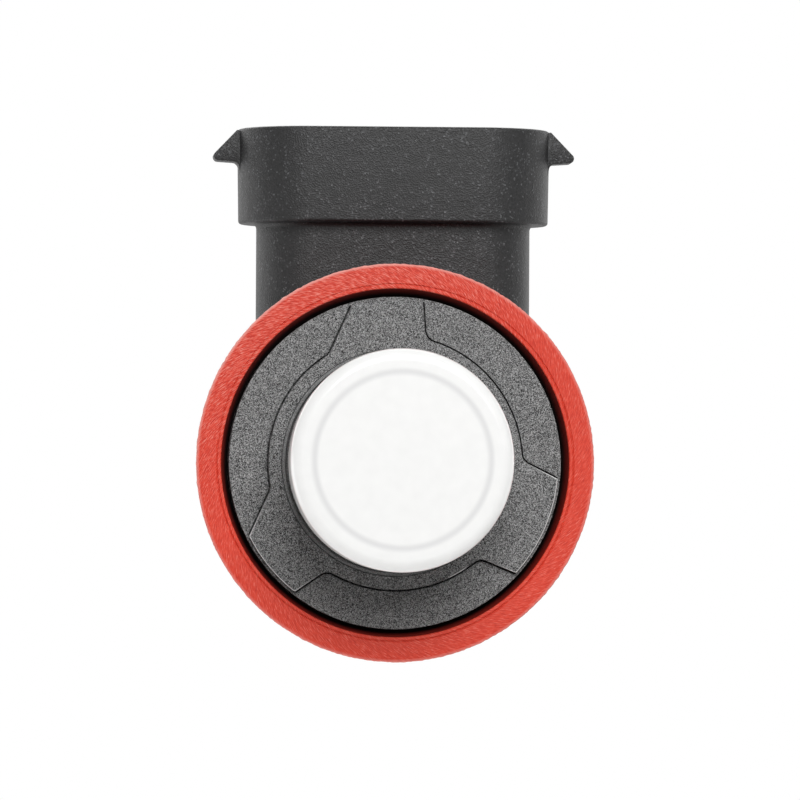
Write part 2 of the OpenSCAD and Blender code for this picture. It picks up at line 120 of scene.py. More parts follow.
def add_node(
    tree: NodeTree,
    kind: str,
    inputs: Optional[Mapping[Union[str, int], Value]] = None,
    stops: Sequence[tuple[float, str]] = (),
    **settings: object,
) -> bpy.types.bpy_prop_collection:
    """Adds a shader node with its settings, values and links.

    Args:
        tree: Node tree that the node goes into.
        kind: Blender's name of the node type, without ShaderNode before it.
        inputs: Socket name or number, to a constant or to the output that feeds it.
        stops: Positions and hex colours of a colour ramp.
        settings: Properties of the node.

    Returns:
        The new node's outputs.
    """
    node = tree.nodes.new("ShaderNode" + kind)
    for key, value in settings.items():
        setattr(node, key, value)
    for key, value in (inputs or {}).items():
        if isinstance(value, NodeSocket):
            tree.links.new(value, node.inputs[key])
        else:
            node.inputs[key].default_value = value
    for index, (place, code) in enumerate(stops):
        ramp = node.color_ramp.elements
        stop = ramp[index] if index < len(ramp) else ramp.new(place)
        stop.position = place
        stop.color = to_linear(code)
    return node.outputs


def new_material(
    name: str,
) -> tuple[Material, NodeTree, NodeSocket]:
    """Makes a material with a principled shader.

    Args:
        name: The material's name.

    Returns:
        The material, its node tree and the place on the piece that its patterns read.
    """
    material = bpy.data.materials.new(name)
    material.use_nodes = True
    tree = material.node_tree
    return material, tree, add_node(tree, "TexCoord")["Object"]


def dress_shader(
    tree: NodeTree,
    tone: NodeSocket,
    height: NodeSocket,
    relief_mm: float,
    constants: Mapping[str, float],
) -> None:
    """Gives a material's shader its colour, its relief and its constants.

    Args:
        tree: The material's node tree.
        tone: Output that gives the colour.
        height: Output that gives the relief, as a share of relief_mm.
        relief_mm: Real height of the relief.
        constants: Values of the shader's own sockets.
    """
    shader = tree.nodes["Principled BSDF"].inputs
    bump = {"Height": height, "Distance": relief_mm * MM, "Strength": 1.0}
    tree.links.new(tone, shader["Base Color"])
    tree.links.new(add_node(tree, "Bump", bump)["Normal"], shader["Normal"])
    for socket, value in constants.items():
        shader[socket].default_value = value


# Finishes


@dataclass(frozen=True)
class PlainFinish:
    """A finish with two tones and a relief from one pattern.

    pattern_mm is the width of the pattern's features and relief_mm their height.
    """

    name: str
    dark: str
    light: str
    roughness: float
    pattern: Pattern
    pattern_mm: float
    relief_mm: float
    metallic: float = 0.0
    coat: float = 0.0

    def make(self) -> Material:
        """Builds the material.

        Returns:
            The material, ready to use.
        """
        material, tree, place = new_material(self.name)
        drawn = {"Vector": place, "Scale": per_mm(self.pattern_mm)}
        shape = add_node(tree, self.pattern.value, drawn)[0]
        stops = [(0.3, self.dark), (0.7, self.light)]
        tone = add_node(tree, "ValToRGB", {"Fac": shape}, stops)["Color"]
        constants = {
            "Roughness": self.roughness,
            "Metallic": self.metallic,
            "Coat Weight": self.coat,
        }
        dress_shader(tree, tone, shape, self.relief_mm, constants)
        return material


@dataclass(frozen=True)
class GrainedNylon:
    """Glass-filled nylon from a spark-eroded mould.

    Grey-black and matt, with a dense grain whose tops catch the light as fine speckle. Cut
    fibre ends show as pale flecks. Edges that a point attribute marks carry a painted
    highlight, a pale line where light would catch them. The real grain is about 0.05 mm, and
    the satin shell's is drawn coarser so that it shows.
    """

    name: str
    dark: str
    light: str
    fleck: str
    roughness: float
    gloss: float
    grain_mm: float
    relief_mm: float
    cloud_mm: float
    cloud_share: float
    cloud_relief_mm: float
    # Pale colour of the painted highlight on edges where light would catch
    painted_highlight: str = "#dadada"

    def make(self) -> Material:
        """Builds the material.

        Returns:
            The material, ready to use.
        """
        material, tree, place = new_material(self.name)
        grain = add_node(tree, "TexVoronoi", {"Vector": place, "Scale": per_mm(self.grain_mm)})
        spread = {"Vector": place, "Scale": per_mm(self.cloud_mm), "Detail": 2.0}
        cloud = add_node(tree, "TexNoise", spread)["Fac"]
        shares = {0: self.cloud_share, 2: grain["Color"], 3: cloud}
        mixed = add_node(tree, "Mix", shares, data_type="FLOAT")[0]
        stops = [(0.25, self.dark), (0.7, self.light), (0.88, self.fleck)]
        tone = add_node(tree, "ValToRGB", {"Fac": mixed}, stops)["Color"]
        # Painted highlight: where the point attribute marks an edge, the tone is mixed to the pale
        # colour
        edge_highlight = add_node(tree, "Attribute", attribute_name=PAINTED_HIGHLIGHT)["Fac"]
        pale = {0: edge_highlight, 6: tone, 7: to_linear(self.painted_highlight)}
        tone = add_node(tree, "Mix", pale, data_type="RGBA")[2]
        swell = {0: cloud, 1: self.cloud_relief_mm / self.relief_mm, 2: grain["Distance"]}
        height = add_node(tree, "Math", swell, operation="MULTIPLY_ADD")[0]
        constants = {"Roughness": self.roughness, "Specular IOR Level": self.gloss}
        dress_shader(tree, tone, height, self.relief_mm, constants)
        return material


@dataclass(frozen=True)
class CutSilicone:
    """Red silicone rubber with a trimmed face.

    Saturated red, a little waxy, with fine slanting cut lines, more of them on the upper left
    side seen from the front. Their dark tone is painted shade in the lines and their pale tone a
    painted pink sheen on them, and the outer front edge carries a painted pale pink highlight,
    strongest on that side. Inside, the bore is painted dark red that turns near black with
    depth, as painted shade in the recess. The outside is smooth but for faint drag marks. The
    real lines are a few hundredths of a millimetre, and are drawn as wide as a pixel needs.
    """

    name: str = "red_silicone_rubber_trimmed"
    # Dark, middle and pale tones of the cut lines: painted shade in them, the rubber's red, and a
    # painted pink sheen
    deep: str = "#b11f10"
    base: str = "#d23b24"
    sheen: str = "#e68c7e"
    # Pale pink of the painted highlight on the outer front edge
    rim_highlight: str = "#efaca2"
    # Dark red and near black of the painted shade in the bore, darker with depth
    bore_shade: str = "#6a130a"
    deep_bore_shade: str = "#120403"
    roughness: float = 0.55
    gloss: float = 0.35
    mean_r: float = 12.2
    rim_highlight_r: float = 13.06
    rim_highlight_w: float = 0.24
    slant: float = -32.0
    line_mm: float = 0.05
    line_len_mm: float = 0.45
    relief_mm: float = 0.03
    rough_side: Flat = (-0.5, 0.87)
    # Share of the lines on the calm side, the share of mean_r from which they grow towards the
    # rough side, and the middle that weak lines fall back to
    calm_share: float = 0.5
    calm_from: float = 0.2
    mean_line: float = 0.46
    # Start and end along the axis, in millimetres, and the share of the look at each: the cut
    # lines, the painted shade deep in the bore and the painted dark red shade of the bore
    trim_y: Four = (-0.34, -0.1, 1.0, 0.07)
    deep_bore_shade_y: Four = (0.0, 1.2, 0.0, 1.0)
    bore_shade_y: Four = (-0.36, -0.2, 0.0, 1.0)

    def make(self) -> Material:
        """Builds the material.

        Returns:
            The material, ready to use.
        """
        material, tree, place = new_material(self.name)
        mean_r = self.mean_r * MM
        x, y, z = add_node(tree, "SeparateXYZ", {0: place})
        angle = add_node(tree, "Math", {0: z, 1: x}, operation="ARCTAN2")[0]
        along = add_node(tree, "Math", {0: angle, 1: mean_r}, operation="MULTIPLY")[0]
        flat = add_node(tree, "CombineXYZ", {0: x, 1: z})[0]
        out = add_node(tree, "VectorMath", {0: flat}, operation="LENGTH")["Value"]
        strip = add_node(tree, "CombineXYZ", {0: along, 1: out, 2: y})[0]
        turn = {"Vector": strip, "Rotation": (0, 0, math.radians(self.slant))}
        length, width = per_mm(self.line_len_mm), per_mm(self.line_mm)
        drawn = {"Vector": add_node(tree, "Mapping", turn)[0], "Scale": (length, width, length)}
        cut = {"Vector": add_node(tree, "Mapping", drawn)[0], "Scale": 1.0, "Detail": 2.0}
        cut |= {"Roughness": 0.6, "Distortion": 0.4}
        lines = add_node(tree, "TexNoise", cut)["Fac"]
        across = {0: flat, 1: (*self.rough_side, 0)}
        side = add_node(tree, "VectorMath", across, operation="DOT_PRODUCT")["Value"]
        calm_r = self.calm_from * mean_r
        band = {0: side, 1: calm_r, 2: mean_r, 3: self.calm_share, 4: 1.0}
        rough = add_node(tree, "MapRange", band)[0]
        front, bore_shade_tone, depth = (
            add_node(tree, "MapRange", {0: y, 1: start * MM, 2: end * MM, 3: low, 4: high})[0]
            for start, end, low, high in (self.trim_y, self.deep_bore_shade_y, self.bore_shade_y)
        )
        rough = add_node(tree, "Math", {0: rough, 1: front}, operation="MULTIPLY")[0]
        shares = {0: rough, 2: self.mean_line, 3: lines}
        lines = add_node(tree, "Mix", shares, data_type="FLOAT")[0]
        # The dark stop paints shade in the cut lines and the pale stop a pink sheen on them
        stops = [(0.36, self.deep), (0.5, self.base), (0.7, self.sheen)]
        tone = add_node(tree, "ValToRGB", {"Fac": lines}, stops)["Color"]
        # Painted highlight: the outer front edge is mixed towards pale pink, most on the rough
        # side
        band = {0: out, 1: (self.rim_highlight_r - self.rim_highlight_w) * MM, 2: self.rim_highlight_r * MM}
        edge = add_node(tree, "MapRange", band)[0]
        edge = add_node(tree, "Math", {0: edge, 1: rough}, operation="MULTIPLY")[0]
        pale = {0: edge, 6: tone, 7: to_linear(self.rim_highlight)}
        tone = add_node(tree, "Mix", pale, data_type="RGBA")[2]
        # Painted shade: inside the mean radius the bore turns dark red behind the front and near
        # black deeper in
        stops = [(0.2, self.bore_shade), (0.9, self.deep_bore_shade)]
        bore_shade_tone = add_node(tree, "ValToRGB", {"Fac": bore_shade_tone}, stops)["Color"]
        inside = add_node(tree, "Math", {0: out, 1: mean_r}, operation="LESS_THAN")[0]
        depth = add_node(tree, "Math", {0: depth, 1: inside}, operation="MULTIPLY")[0]
        tone = add_node(tree, "Mix", {0: depth, 6: tone, 7: bore_shade_tone}, data_type="RGBA")[2]
        constants = {"Roughness": self.roughness, "Specular IOR Level": self.gloss}
        dress_shader(tree, tone, lines, self.relief_mm, constants)
        return material


@dataclass(frozen=True)
class GlossPaint:
    """White two-layer paint on aluminium.

    Clean white with a clear lacquer over it, and the faint orange peel of sprayed paint. The
    shallow ring of the front carries a soft grey line of painted shade.
    """

    name: str = "gloss_white_paint"
    colour: str = "#f3f3f2"
    shade: str = "#efefee"
    # Grey of the painted shade along the shallow ring
    ring: str = "#dedede"
    ring_r: float = 5.7
    ring_w: float = 0.36
    roughness: float = 0.22
    peel_mm: float = 0.9
    relief_mm: float = 0.0012
    coat: float = 0.4
    coat_roughness: float = 0.08

    def make(self) -> Material:
        """Builds the material.

        Returns:
            The material, ready to use.
        """
        material, tree, place = new_material(self.name)
        drawn = {"Vector": place, "Scale": per_mm(self.peel_mm), "Detail": 1.0}
        peel = add_node(tree, "TexNoise", drawn)["Fac"]
        stops = [(0.2, self.shade), (0.8, self.colour)]
        tone = add_node(tree, "ValToRGB", {"Fac": peel}, stops)["Color"]
        # Painted shade: a soft grey line along the shallow ring of the front
        flat = add_node(tree, "VectorMath", {0: place, 1: (1, 0, 1)}, operation="MULTIPLY")[0]
        out = add_node(tree, "VectorMath", {0: flat}, operation="LENGTH")["Value"]
        away = add_node(tree, "Math", {0: out, 1: self.ring_r * MM}, operation="SUBTRACT")[0]
        away = add_node(tree, "Math", {0: away}, operation="ABSOLUTE")[0]
        band = {0: away, 1: 0.0, 2: self.ring_w * MM, 3: 1.0, 4: 0.0}
        ring_shade_mask = add_node(tree, "MapRange", band, interpolation_type="SMOOTHSTEP")[0]
        grey = {0: ring_shade_mask, 6: tone, 7: to_linear(self.ring)}
        tone = add_node(tree, "Mix", grey, data_type="RGBA")[2]
        constants = {
            "Roughness": self.roughness,
            "Coat Weight": self.coat,
            "Coat Roughness": self.coat_roughness,
        }
        dress_shader(tree, tone, peel, self.relief_mm, constants)
        return material


FACE_NYLON = GrainedNylon(
    name="glass_filled_nylon_spark_eroded",
    dark="#151515",
    light="#8a8a8a",
    fleck="#a8a8a8",
    roughness=0.5,
    gloss=0.2,
    grain_mm=0.05,
    relief_mm=0.012,
    cloud_mm=2.5,
    cloud_share=0.06,
    cloud_relief_mm=0.0,
)
SHELL_NYLON = GrainedNylon(
    name="glass_filled_nylon_satin",
    dark="#050505",
    light="#1d1d1e",
    fleck="#606163",
    roughness=0.5,
    gloss=0.36,
    grain_mm=0.1,
    relief_mm=0.024,
    cloud_mm=1.0,
    cloud_share=0.3,
    cloud_relief_mm=0.04,
)
RED_SILICONE = CutSilicone()
WHITE_PAINT = GlossPaint()
# Black silicone, moulded: deep black and matt, with a dusty bloom
BLACK_SILICONE = PlainFinish(
    "black_silicone_rubber", "#2a2a2a", "#8a8a8a", 0.62, Pattern.NOISE, 0.07, 0.006
)
# Tin plating on a brass pin: soft silver with faint rolling marks
TIN_PLATE = PlainFinish(
    "tin_plated_brass", "#b9b5a8", "#d8d5cc", 0.3, Pattern.BANDS, 0.12, 0.001, metallic=1.0
)
# Nylon, as moulded: dark grey and smooth
CARRIER_NYLON = PlainFinish(
    "moulded_nylon", "#3a3b3e", "#46474b", 0.5, Pattern.NOISE, 0.3, 0.004
)
# Natural nylon: cream and slightly cloudy
CLAMP_NYLON = PlainFinish("natural_nylon", "#c4bda7", "#d2ccb8", 0.5, Pattern.NOISE, 0.6, 0.004)
# Piezo ceramic, ground and silvered: dull yellow-grey
PIEZO_CERAMIC = PlainFinish(
    "silvered_piezo_ceramic", "#bda64e", "#d0bd74", 0.45, Pattern.NOISE, 0.08, 0.002
)
# Silicone foam: open grey cells
SILICONE_FOAM = PlainFinish("silicone_foam", "#6f6f69", "#9a9a93", 0.85, Pattern.CELLS, 0.3, 0.05)
# Poured silicone: smooth blue-grey with a slow swirl
POTTING = PlainFinish("poured_silicone", "#565a61", "#626770", 0.35, Pattern.NOISE, 1.5, 0.004)
# Solder resist over glass cloth: glossy green with the cloth's weave under it
SOLDER_RESIST = PlainFinish(
    "green_solder_resist", "#1b5c34", "#23764a", 0.3, Pattern.CELLS, 0.4, 0.004, coat=0.3
)
# Moulded epoxy of electronic parts: black with a fine sparkle
MOULDED_EPOXY = PlainFinish("moulded_epoxy", "#1f2022", "#2c2d30", 0.55, Pattern.NOISE, 0.1, 0.004)
# Ground ferrite: dark grey with fine pores
FERRITE = PlainFinish("ground_ferrite", "#3c3a38", "#524f4b", 0.5, Pattern.CELLS, 0.12, 0.005)
# Enamelled copper wire, wound: orange-brown rows
COPPER_WIRE = PlainFinish(
    "enamelled_copper_winding", "#8a4318", "#c77a3c", 0.3, Pattern.BANDS, 0.15, 0.03, metallic=0.8
)
# Fired capacitor ceramic: dull tan
FIRED_CERAMIC = PlainFinish("fired_ceramic", "#9c8160", "#b39a78", 0.55, Pattern.NOISE, 0.2, 0.003)
# Diode glass over its chip: glossy red-brown
DIODE_GLASS = PlainFinish(
    "diode_glass", "#8f3522", "#b2513a", 0.12, Pattern.NOISE, 0.8, 0.001, coat=0.5
)

NODE_FINISHES = {
    "terminal_carrier": CARRIER_NYLON,
    "clamp_ring": CLAMP_NYLON,
    "piezo_disc": PIEZO_CERAMIC,
    "damping_pad": SILICONE_FOAM,
    "cup_plug": POTTING,
    "circuit_board": SOLDER_RESIST,
    "transformer_core": FERRITE,
    "transformer_winding": COPPER_WIRE,
    "capacitors": FIRED_CERAMIC,
    "diode": DIODE_GLASS,
    **dict.fromkeys(("transformer_base", "driver_chip", "resistors"), MOULDED_EPOXY),
    **dict.fromkeys(("terminal_supply", "terminal_signal", "terminal_ground"), TIN_PLATE),
    **dict.fromkeys(("transducer_pin_live", "transducer_pin_ground"), TIN_PLATE),
}

Finish = Union[PlainFinish, GrainedNylon, CutSilicone, GlossPaint]


def material_of(finish: Finish) -> Material:
    """Gives a finish's material, made at its first use."""
    return bpy.data.materials.get(finish.name) or finish.make()


# Flat shapes


@dataclass(frozen=True)
class Corner:
    """A corner of a flat outline, in millimetres, with the radius that rounds it."""

    x: float
    y: float
    r: float = 0.0


def arc_points(centre: Flat, radius: float, start: float, turn: float) -> list[Flat]:
    """Lists the points along an arc.

    Args:
        centre: Middle of the arc.
        radius: Radius of the arc.
        start: Angle of its first point, in degrees.
        turn: Signed turn from its first to its last point, in degrees.

    Returns:
        The points, both ends included.
    """
    step = min(ARC_STEP, math.degrees(2 * math.acos(1 - ARC_ERROR / radius)))
    steps = max(2, math.ceil(abs(turn) / step))
    angles = [math.radians(start + turn * i / steps) for i in range(steps + 1)]
    return [(centre[0] + radius * math.cos(a), centre[1] + radius * math.sin(a)) for a in angles]


def bearing(point: Sequence[float]) -> float:
    """Gives the direction of a flat point from the origin, in degrees."""
    return math.degrees(math.atan2(point[1], point[0]))


def short_arc(centre: Vector, radius: float, first: Vector, last: Vector) -> list[Flat]:
    """Lists the points of the shorter arc between two directions.

    Args:
        centre: Middle of the arc.
        radius: Radius of the arc.
        first: Direction of its first point.
        last: Direction of its last point.

    Returns:
        The points, both ends included.
    """
    turn = (bearing(last) - bearing(first) + 180) % 360 - 180
    return arc_points(tuple(centre), radius, bearing(first), turn)


def rounded(corners: Sequence[Corner], closed: bool = True) -> list[Flat]:
    """Draws an outline through corners, each rounded by its own radius.

    Args:
        corners: The corners in order.
        closed: Whether the last corner leads back to the first.

    Returns:
        The outline's points. A closed outline doesn't repeat its first point.
    """
    points: list[Flat] = []
    count = len(corners)
    for index, corner in enumerate(corners):
        if corner.r == 0 or (not closed and index in (0, count - 1)):
            points.append((corner.x, corner.y))
            continue
        before, at, after = (
            Vector((corners[i].x, corners[i].y)) for i in (index - 1, index, (index + 1) % count)
        )
        back, ahead = (before - at).normalized(), (after - at).normalized()
        half = back.angle(ahead) / 2
        middle = at + (back + ahead).normalized() * (corner.r / math.sin(half))
        leg = corner.r / math.tan(half)
        points += short_arc(middle, corner.r, at + back * leg - middle, at + ahead * leg - middle)
    return points


# Work at the bench


def deselect_all() -> None:
    """Leaves edit mode and deselects every object."""
    if bpy.context.object and bpy.context.object.mode != "OBJECT":
        bpy.ops.object.mode_set(mode="OBJECT")
    bpy.ops.object.select_all(action="DESELECT")


def name_new(name: str) -> Object:
    """Names the primitive that was just added.

    Args:
        name: The piece's name.

    Returns:
        The piece.
    """
    piece = bpy.context.object
    piece.name = name
    piece.data.name = name
    return piece


def start_line(name: str, at: Vector) -> Object:
    """Starts a piece as one vertex, from a small plane merged to its middle.

    Args:
        name: The piece's name.
        at: Place of the vertex, in metres.

    Returns:
        The piece, in edit mode with its vertex selected.
    """
    deselect_all()
    bpy.ops.mesh.primitive_plane_add(size=MM)
    piece = name_new(name)
    bpy.ops.object.mode_set(mode="EDIT")
    bpy.ops.mesh.select_mode(type="VERT")
    bpy.ops.mesh.select_all(action="SELECT")
    bpy.ops.mesh.merge(type="CENTER")
    bpy.ops.transform.translate(value=at)
    return piece


def draw_line(points: Sequence[Vector]) -> None:
    """Extrudes the selected vertex from place to place, the first being where it is."""
    for here, there in zip(points, points[1:]):
        bpy.ops.mesh.extrude_vertices_move(TRANSFORM_OT_translate={"value": there - here})


def select_where(piece: Object, test: Callable[[bmesh.types.BMVert], bool]) -> None:
    """Selects the vertices that pass a test, and the edges and faces between them.

    Args:
        piece: The piece in edit mode.
        test: Takes a vertex, with its number and its place in metres.
    """
    bpy.ops.mesh.select_mode(type="VERT")
    bpy.ops.mesh.select_all(action="DESELECT")
    mesh = bmesh.from_edit_mesh(piece.data)
    mesh.verts.index_update()
    for vert in mesh.verts:
        vert.select_set(test(vert))
    mesh.select_flush_mode()
    mesh.select_flush(True)
    bmesh.update_edit_mesh(piece.data)


def close_up() -> None:
    """Merges doubles and turns the faces outwards, still in edit mode."""
    bpy.ops.mesh.select_all(action="SELECT")
    bpy.ops.mesh.remove_doubles(threshold=MERGE)
    bpy.ops.mesh.normals_make_consistent(inside=False)


def smooth(piece: Object) -> Object:
    """Leaves edit mode and shades the piece smooth, apart from its sharp edges.

    Args:
        piece: The piece.

    Returns:
        The same piece.
    """
    deselect_all()
    piece.select_set(True)
    bpy.context.view_layer.objects.active = piece
    bpy.ops.object.shade_smooth_by_angle(angle=math.radians(CREASE))
    return piece


def turned(
    name: str, corners: Sequence[Corner], closed: bool = True, steps: int = ROUND_STEPS
) -> Object:
    """Spins a rounded outline round the sensor's axis.

    Args:
        name: The piece's name.
        corners: Corners of the outline, by radius and forward height.
        closed: Whether the outline leads back to its first corner.
        steps: Number of steps round the axis.

    Returns:
        The turned piece.
    """
    points = [Vector((r, -h, 0)) * MM for r, h in rounded(corners, closed)]
    if closed:
        points.append(points[0])
    piece = start_line(name, points[0])
    draw_line(points)
    bpy.ops.mesh.select_all(action="SELECT")
    bpy.ops.mesh.spin(steps=steps, angle=math.tau, center=(0, 0, 0), axis=(0, 1, 0))
    close_up()
    return smooth(piece)


def prism(name: str, outline: Sequence[Flat], rear: float, front: float) -> Object:
    """Models a flat piece that faces forwards.

    Args:
        name: The piece's name.
        outline: Its outline seen from the front, in millimetres.
        rear: Y of its rear, in millimetres.
        front: Y of its front, in millimetres.

    Returns:
        The piece, in edit mode.
    """
    points = [Vector((x, rear, z)) * MM for x, z in outline]
    piece = start_line(name, points[0])
    draw_line([*points, points[0]])
    bpy.ops.mesh.select_all(action="SELECT")
    bpy.ops.mesh.remove_doubles(threshold=MERGE)
    bpy.ops.mesh.edge_face_add()
    thicken = {"value": Vector((0, (front - rear) * MM, 0))}
    bpy.ops.mesh.extrude_region_move(TRANSFORM_OT_translate=thicken)
    close_up()
    return piece


def cut_away(piece: Object, cutter: Object) -> None:
    """Cuts one object out of a piece.

    Args:
        piece: The piece that is cut.
        cutter: The object that cuts, which is deleted.
    """
    deselect_all()
    bpy.context.view_layer.objects.active = piece
    piece.select_set(True)
    cut = piece.modifiers.new("cut", "BOOLEAN")
    cut.operation = "DIFFERENCE"
    cut.solver = "EXACT"
    cut.object = cutter
    bpy.ops.object.modifier_apply(modifier=cut.name)
    bpy.data.objects.remove(cutter)


def round_bar(radius: float, length: float, middle_y: float) -> Object:
    """Makes a round bar along the sensor's axis to cut with.

    Args:
        radius: Radius in millimetres.
        length: Length in millimetres.
        middle_y: Y of its middle, in millimetres.

    Returns:
        The bar.
    """
    deselect_all()
    bpy.ops.mesh.primitive_cylinder_add(
        vertices=ROUND_STEPS,
        radius=radius * MM,
        depth=length * MM,
        location=Vector((0, middle_y, 0)) * MM,
        rotation=Vector((0, 1, 0)).to_track_quat("Z", "Y").to_euler(),
    )
    bar = name_new("cutter")
    bpy.ops.object.transform_apply(location=True, rotation=True, scale=True)
    return bar


def hand_over(piece: Object, finish: Finish, slot: Slot, *nodes: str) -> None:
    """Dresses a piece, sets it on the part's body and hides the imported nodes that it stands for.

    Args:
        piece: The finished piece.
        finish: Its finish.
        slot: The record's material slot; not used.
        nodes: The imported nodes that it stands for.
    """
    piece.data.materials.clear()
    piece.data.materials.append(material_of(finish))
    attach(piece, BODY)
    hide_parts(*nodes)
    LOG.info("%s: %d faces, %s", piece.name, len(piece.data.polygons), finish.name)


# Sub-assemblies


@dataclass
class KeyedFace:
    """Hub with three lugs of different width, raised a little over the flange round them.

    A fine gap runs round the foot of hub and lugs, as deep as the pocket they stand in.
    """

    hub_r: float = 8.3
    bore_r: float = 7.45
    lug_r: float = 10.7
    front: float = 0.4
    pocket: float = -0.8
    gap: float = 0.12
    cut_front: float = 1.0
    bore_cut: float = 4.0
    root_fillet: float = 0.85
    tip_round: float = 0.14
    edge_round: float = 0.07
    # Angles of each lug's first side at hub and tip, and of its second side at tip and hub
    lugs: tuple[Four, ...] = (
        (76.5, 80.5, 105.8, 121.8),
        (192.0, 207.0, 232.3, 237.7),
        (311.9, 318.0, 354.7, 361.4),
    )
    edge_steps: int = 3
    # Share of the edge's rounding that carries the painted highlight, from the front
    highlight_band: Flat = (0.1, 0.9)
    # Least radius of each stretch with the painted highlight, and the arc it lies in: tips, a
    # lug's side, the hub
    highlight_spans: tuple[tuple[float, float, float], ...] = (
        (10.55, 180.0, 356.0),
        (8.8, 231.0, 240.0),
        (0.0, 296.0, 304.0),
    )

    def spot(self, radius: float, angle: float) -> Vector:
        """Gives the flat point at a radius and an angle in degrees."""
        return Vector((math.cos(math.radians(angle)), math.sin(math.radians(angle)))) * radius

    def blend(self, root: float, tip: float, side: int) -> list[Flat]:
        """Draws the arc that blends one side of a lug into the hub.

        Args:
            root: Angle at which the side would meet the hub.
            tip: Angle at which the side meets the lug's outer edge.
            side: -1 for the side that comes first round the hub, 1 for the other.

        Returns:
            Points from the hub to the lug's side.
        """
        foot = self.spot(self.hub_r, root)
        along = (self.spot(self.lug_r, tip) - foot).normalized()
        away = Vector((-along.y, along.x)) * side
        start = foot + away * self.root_fillet
        lead = start.dot(along)
        reach = self.hub_r + self.root_fillet
        step = math.sqrt(lead * lead - start.dot(start) + reach * reach) - lead
        centre = start + along * step
        return short_arc(centre, self.root_fillet, -centre, -away)

    def lug(self, root_a: float, tip_a: float, tip_b: float, root_b: float) -> list[Flat]:
        """Draws one lug with both blends.

        Args:
            root_a: Angle at which its first side would meet the hub.
            tip_a: Angle at which its first side meets its outer edge.
            tip_b: Angle at which its outer edge meets its second side.
            root_b: Angle at which its second side would meet the hub.

        Returns:
            Points from the hub over the lug and back to the hub.
        """
        rise, fall = self.blend(root_a, tip_a, -1), self.blend(root_b, tip_b, 1)[::-1]
        tip = [Corner(*p) for p in arc_points((0, 0), self.lug_r, tip_a, tip_b - tip_a)]
        tip[0], tip[-1] = (Corner(end.x, end.y, self.tip_round) for end in (tip[0], tip[-1]))
        edge = [Corner(*rise[-1]), *tip, Corner(*fall[0])]
        return rise[:-1] + rounded(edge, closed=False) + fall[1:]

    def outline(self) -> list[Flat]:
        """Draws the hub and its lugs.

        Returns:
            The outline's points, anticlockwise seen from the front.
        """
        points: list[Flat] = []
        lugs = [self.lug(*angles) for angles in self.lugs]
        for lug, following in zip(lugs, lugs[1:] + lugs[:1]):
            here, there = bearing(lug[-1]), bearing(following[0])
            points += lug + arc_points((0, 0), self.hub_r, here, (there - here) % 360)[1:-1]
        return points

    def gap_outline(self) -> list[Flat]:
        """Draws the pocket that the face stands in.

        Returns:
            The face's outline moved out by the gap, but not past the lugs' outer edge.
        """
        points = [Vector(p) for p in self.outline()]
        moved: list[Flat] = []
        for index, here in enumerate(points):
            along = (points[(index + 1) % len(points)] - points[index - 1]).normalized()
            there = here + Vector((along.y, -along.x)) * self.gap
            if there.length > self.lug_r:
                there = there.normalized() * self.lug_r
            moved.append(tuple(there))
        return moved

    def cutter(self) -> Object:
        """Models the block that cuts the pocket into the flange.

        Returns:
            The block, which stands out of the flange.
        """
        piece = prism("cutter", self.gap_outline(), -self.pocket, -self.cut_front)
        deselect_all()
        return piece

    def painted_highlight(self, place: Vector) -> float:
        """Says how far a point carries a painted highlight: the lower lugs' tips and some of the
        lower edge.

        Args:
            place: The point, in millimetres.

        Returns:
            1 on the middle of the rounding of an edge with the painted highlight, otherwise 0.
        """
        low, high = self.highlight_band
        if not low < (self.front + place.y) / self.edge_round < high:
            return 0.0
        out = math.hypot(place.x, place.z)
        angle = bearing(place.xz) % 360
        return float(any(out > least and start < angle < end for least, start, end in self.highlight_spans))

    def build(self) -> None:
        """Models the face: outline, thickness, rounded front edge, bore and the painted highlight
        on some edges.
        """
        piece = prism("keyed_face", self.outline(), -self.pocket, -self.front)
        select_where(piece, lambda vert: abs(vert.co.y + self.front * MM) < MERGE)
        bpy.ops.mesh.bevel(
            offset=self.edge_round * MM, segments=self.edge_steps, clamp_overlap=False
        )
        close_up()
        deselect_all()
        cut_away(piece, round_bar(self.bore_r, self.bore_cut, 0))
        # Painted highlight: marks the middle of the rounding on the lower lugs' tips and on some
        # lower edges
        edge_highlight = piece.data.attributes.new(PAINTED_HIGHLIGHT, "FLOAT", "POINT")
        edge_highlight.data.foreach_set("value", [self.painted_highlight(vert.co / MM) for vert in piece.data.vertices])
        hand_over(smooth(piece), FACE_NYLON, Slot.HOUSING, "housing")


